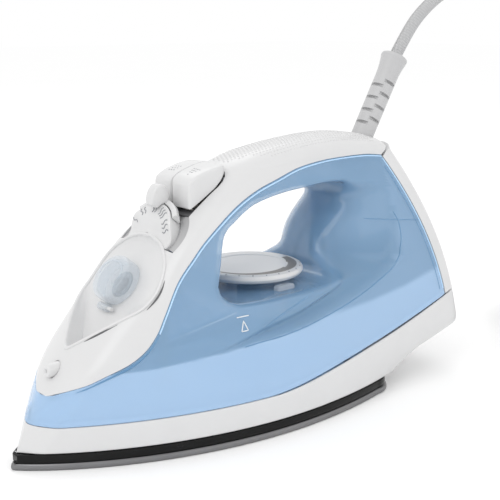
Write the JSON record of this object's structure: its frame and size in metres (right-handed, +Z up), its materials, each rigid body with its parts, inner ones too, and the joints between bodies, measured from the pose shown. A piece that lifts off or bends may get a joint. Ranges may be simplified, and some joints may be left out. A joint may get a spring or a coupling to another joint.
{
  "type": "clothes iron",
  "caption": "Steam iron with see-through blue tank, white handle and front, dial under the handle, spray and steam buttons, filler cap and a braided cord in a swivelling guide.",
  "frame": {"origin": "on the resting plane under the middle of the iron's length and width, without the free cord", "axes": "-X towards the nose, +X towards the heel, +Z up, Y across"},
  "size_m": [0.4555, 0.1575, 0.2305],
  "materials": {
    "aluminium_sole": "satin ceramic-coated soleplate",
    "cast_aluminium": "as cast",
    "element_steel": "heat-tinted tube",
    "brass_parts": "plain",
    "screw_steel": "zinc plated",
    "skirt_black": "heat-resistant, half gloss",
    "white_plastic": "fine satin moulded plastic",
    "grey_plastic": "plain",
    "blue_clear": "see-through tinted tank plastic",
    "clear_plastic": "clear moulded plastic",
    "silicone": "soft tube",
    "lamp_amber": "small neon lamp",
    "cord_braid": "braided textile sleeve",
    "tie_black": "hook and loop strap",
    "pin_metal": "nickel plated"
  },
  "bodies": {
    "root": {"soleplate": "aluminium_sole", "sole_casting": "cast_aluminium", "heating_element": "element_steel", "element_terminals": "brass_parts", "steam_chamber_cover": "cast_aluminium", "chamber_screws": "screw_steel", "heat_shield": "skirt_black", "base_housing": "white_plastic", "tank_floor": "blue_clear", "tank_floor_screws": "screw_steel", "water_tank": "blue_clear", "handle_cover": "white_plastic", "rear_cover": "white_plastic", "rear_cover_screw": "screw_steel", "filler_tray": "white_plastic", "filler_neck": "white_plastic", "cap_hinge_pin": "pin_metal", "spray_nozzle": "white_plastic", "spray_hose": "silicone", "spray_pump": "white_plastic", "spray_spring": "screw_steel", "steam_pump": "white_plastic", "steam_spring": "screw_steel", "steam_hose": "silicone", "slider_collar": "white_plastic", "slider_pivot": "pin_metal", "valve_seat": "silicone", "dial_collar": "blue_clear", "shaft_tunnel": "blue_clear", "thermostat": "element_steel", "thermal_fuse": "white_plastic", "pilot_lens": "clear_plastic", "pilot_lamp": "lamp_amber", "guide_socket": "grey_plastic", "cord_clamp": "white_plastic", "clamp_screws": "screw_steel", "terminal_block": "white_plastic", "lead_wires": "brass_parts", "cord_tube": "cord_braid", "cord_coil": "cord_braid", "cord_tail": "cord_braid", "cord_tie": "tie_black", "plug_body": "white_plastic", "plug_pins": "pin_metal"},
    "dial": {"temperature_dial": "white_plastic", "dial_shaft": "pin_metal"},
    "cap": {"filler_cap": "clear_plastic"},
    "spray_key": {"spray_button": "white_plastic", "spray_piston": "grey_plastic"},
    "steam_key": {"steam_button": "white_plastic", "steam_piston": "grey_plastic"},
    "slider": {"steam_slider": "white_plastic"},
    "valve": {"valve_rod": "brass_parts"},
    "guide": {"cord_guide": "white_plastic"}
  },
  "joints": [
    {"name": "dial_turn", "type": "hinge", "parent": "root", "child": "dial", "pos_m": [0.01, 0, 0.073], "axis": [0, 0, 1], "range_deg": [-130, 130]},
    {"name": "cap_hinge", "type": "hinge", "parent": "root", "child": "cap", "pos_m": [-0.08347, 0, 0.069], "axis": [0, -1, 0], "range_deg": [0, 105]},
    {"name": "spray_push", "type": "slide", "parent": "root", "child": "spray_key", "axis": [-0.342, 0, -0.9397], "range_m": [0, 0.003], "stiffness_N_per_m": 300, "springref_m": -0.002, "deforming": ["spray_spring"]},
    {"name": "steam_push", "type": "slide", "parent": "root", "child": "steam_key", "axis": [-0.342, 0, -0.9397], "range_m": [0, 0.003], "stiffness_N_per_m": 300, "springref_m": -0.002, "deforming": ["steam_spring"]},
    {"name": "slider_swing", "type": "hinge", "parent": "root", "child": "slider", "pos_m": [-0.05661, 0, 0.10026], "axis": [-0.7771, 0, 0.6293], "range_deg": [-30, 30]},
    {"name": "valve_lift", "type": "slide", "parent": "root", "child": "valve", "axis": [0, 0, 1], "range_m": [-0.00147, 0.00147]},
    {"name": "guide_swivel", "type": "hinge", "parent": "root", "child": "guide", "pos_m": [0.097, 0, 0.1375], "axis": [0.515, 0, 0.8572], "range_deg": [-90, 90]}
  ],
  "couplings": [
    {"joint": "valve_lift", "follows": "slider_swing", "m_per_rad": 0.0028}
  ]
}
